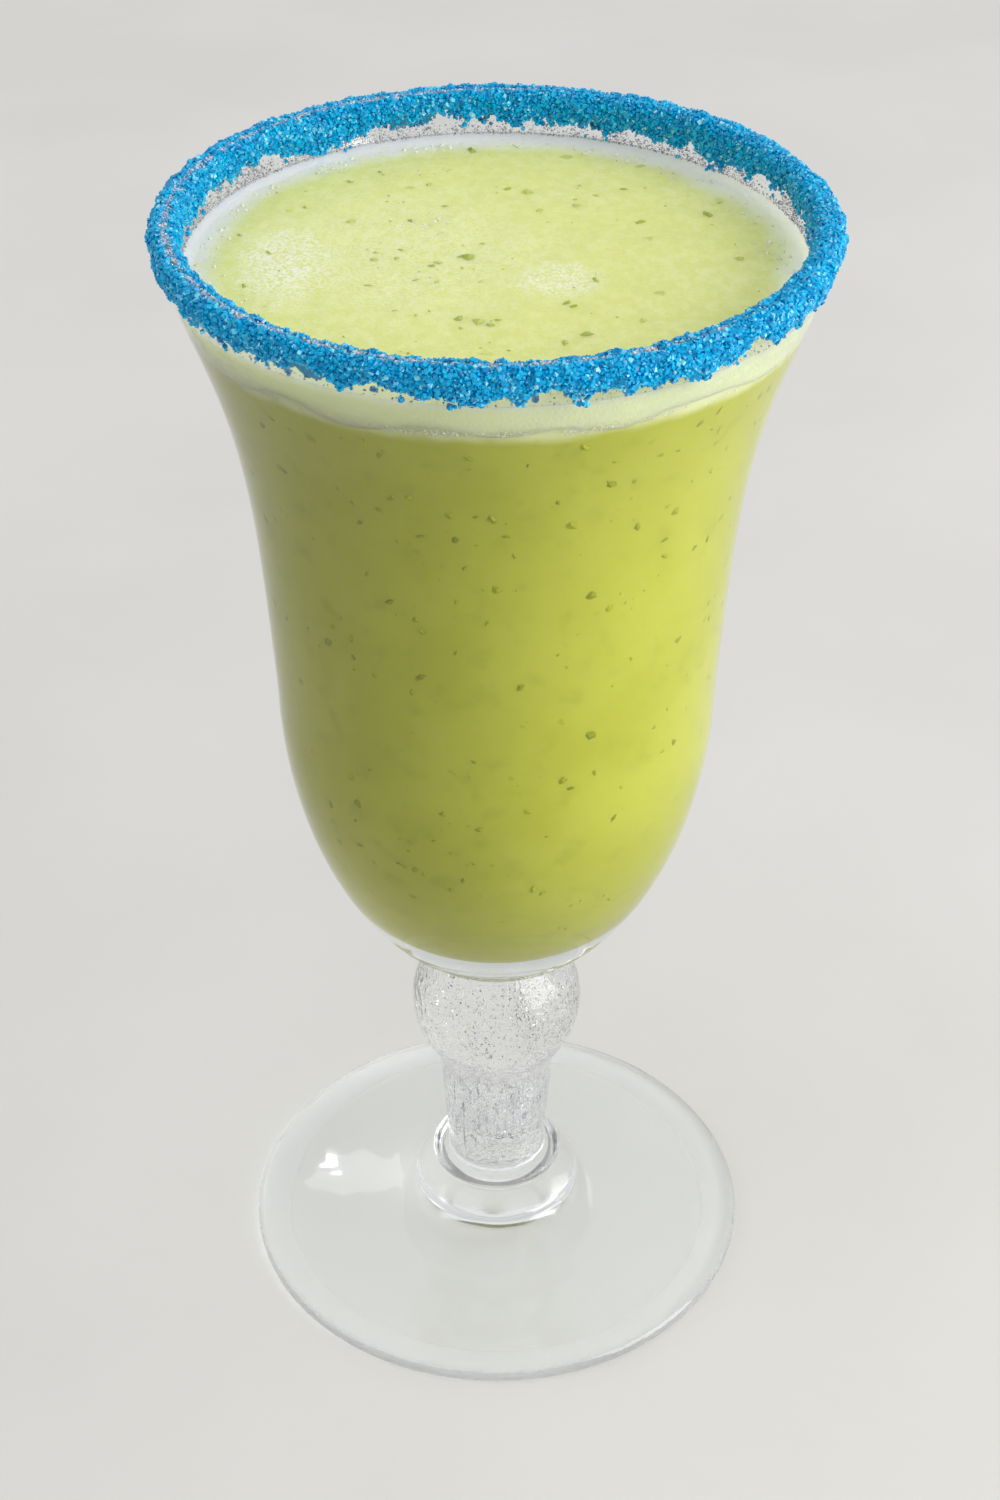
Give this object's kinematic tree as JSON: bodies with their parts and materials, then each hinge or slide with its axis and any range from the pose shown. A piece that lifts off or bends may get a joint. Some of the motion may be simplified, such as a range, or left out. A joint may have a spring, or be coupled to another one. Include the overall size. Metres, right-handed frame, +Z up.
{
  "type": "stemmed glass of agua fresca",
  "caption": "Footed bell goblet with a ball knop and stepped collar, filled with a pulpy green fruit drink under a pale froth, its lip crusted with blue sugar.",
  "frame": {"origin": "centre of the circle on which the foot stands", "axes": "+Z up along the stem and bowl, X and Y level; the glass is turned about Z"},
  "size_m": [0.0878, 0.0876, 0.1736],
  "materials": {
    "clear_glass": "clear pressed glass, smooth, with a faint waviness",
    "drink": "cloudy yellow-green fruit drink with dark green pulp, seen through the glass",
    "froth": "pale, finely bubbled top of the drink, whiter at the wall",
    "blue_sugar": "crust of coarse bright blue sugar crystals with sparkling facets"
  },
  "bodies": {
    "root": {"goblet": "clear_glass", "drink": "drink", "froth": "froth", "sugar_rim": "blue_sugar"}
  },
  "joints": []
}
